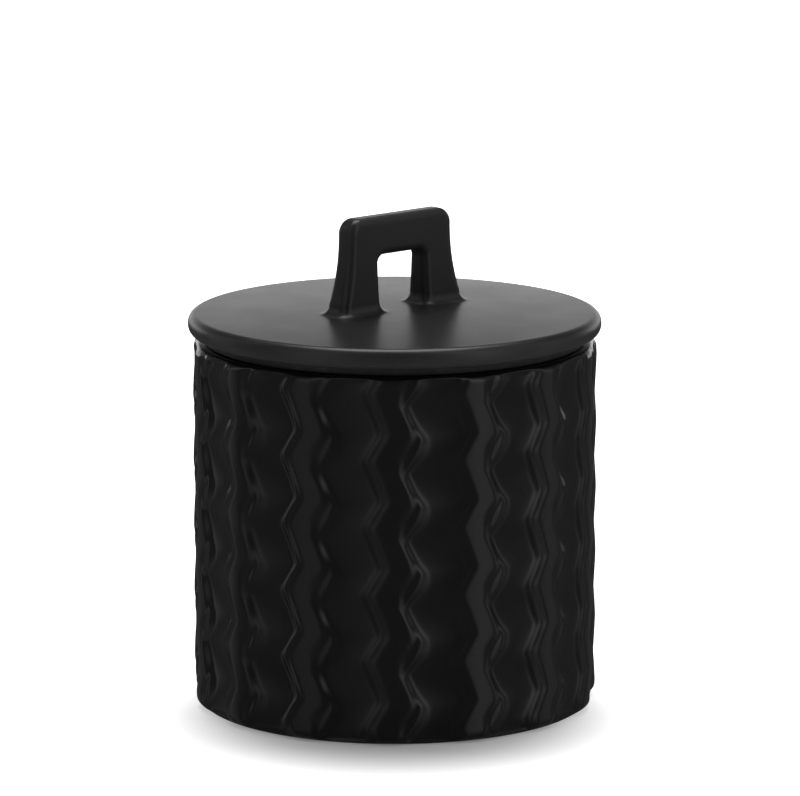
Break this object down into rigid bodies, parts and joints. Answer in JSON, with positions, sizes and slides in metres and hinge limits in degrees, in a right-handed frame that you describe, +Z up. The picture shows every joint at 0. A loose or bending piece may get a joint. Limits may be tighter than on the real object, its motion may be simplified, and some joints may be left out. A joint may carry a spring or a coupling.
{
  "type": "sugar bowl",
  "caption": "Cylindrical glazed ceramic sugar bowl with an all-over relief of zigzag plaited ribs and a flat round lid with a loop handle and a sealing ring.",
  "frame": {"origin": "centre of the foot ring, on the surface that the bowl stands on", "axes": "+Z up along the axis of the pot, +X along the long side of the handle"},
  "size_m": [0.1, 0.1, 0.12],
  "materials": {
    "body_glaze": "satin",
    "lid_glaze": "satin",
    "seal": "matte"
  },
  "bodies": {
    "bowl": {"bowl_body": "body_glaze"},
    "seal": {"seal_ring": "seal"},
    "lid": {"lid": "lid_glaze"}
  },
  "joints": [
    {"name": "lid_lift", "type": "slide", "parent": "bowl", "child": "seal", "axis": [0, 0, 1], "range_m": [0, 0.04]},
    {"name": "lid_turn", "type": "hinge", "parent": "seal", "child": "lid", "pos_m": [0, 0, 0.0908], "axis": [0, 0, 1], "continuous": true}
  ]
}
